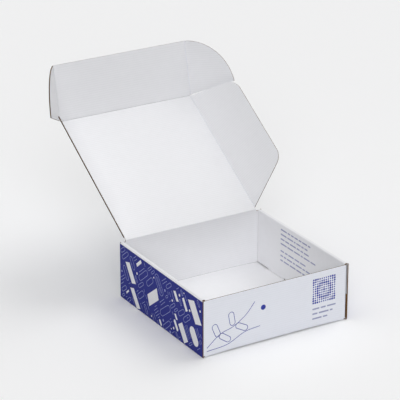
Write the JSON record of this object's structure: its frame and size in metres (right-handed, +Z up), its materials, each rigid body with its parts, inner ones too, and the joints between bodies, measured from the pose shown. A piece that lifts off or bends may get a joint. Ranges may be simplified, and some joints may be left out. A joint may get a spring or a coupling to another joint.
{
  "type": "corrugated mailer box",
  "caption": "Low mailer box of fluted board, one folded blank: rolled double side walls locked into the floor by tabs, and a hinged lid with dust wings, tuck flap and ears.",
  "frame": {"origin": "centre of the tray's underside", "axes": "+X to the right wall, -Y to the front wall, +Z up; the lid is hinged on the back wall"},
  "size_m": [0.315, 0.4426, 0.2929],
  "materials": {
    "white_lined_board": "matte white-lined fluted board, raw kraft at the cut edges"
  },
  "bodies": {
    "tray": {"tray": "white_lined_board"},
    "lid": {"lid": "white_lined_board"},
    "wing_left": {"wing_left": "white_lined_board"},
    "wing_right": {"wing_right": "white_lined_board"},
    "tuck_flap": {"tuck_flap": "white_lined_board"},
    "tuck_ear_left": {"tuck_ear_left": "white_lined_board"},
    "tuck_ear_right": {"tuck_ear_right": "white_lined_board"}
  },
  "joints": [
    {"name": "lid_hinge", "type": "hinge", "parent": "tray", "child": "lid", "pos_m": [0, 0.1147, 0.0885], "axis": [-1, 0, 0], "range_deg": [-95, 32]},
    {"name": "wing_left_crease", "type": "hinge", "parent": "lid", "child": "wing_left", "pos_m": [-0.1112, 0.1147, 0.0885], "axis": [0, -0.848, -0.5299], "range_deg": [-30, 60]},
    {"name": "wing_right_crease", "type": "hinge", "parent": "lid", "child": "wing_right", "pos_m": [0.1112, 0.1147, 0.0885], "axis": [0, 0.848, 0.5299], "range_deg": [-30, 60]},
    {"name": "tuck_crease", "type": "hinge", "parent": "lid", "child": "tuck_flap", "pos_m": [0, 0.30721, 0.20879], "axis": [-1, 0, 0], "range_deg": [-26, 45]},
    {"name": "tuck_ear_left_crease", "type": "hinge", "parent": "tuck_flap", "child": "tuck_ear_left", "pos_m": [-0.1132, 0.30721, 0.20879], "axis": [0, -0.225, -0.9744], "range_deg": [-6, 55]},
    {"name": "tuck_ear_right_crease", "type": "hinge", "parent": "tuck_flap", "child": "tuck_ear_right", "pos_m": [0.1132, 0.30721, 0.20879], "axis": [0, 0.225, 0.9744], "range_deg": [-6, 55]}
  ]
}
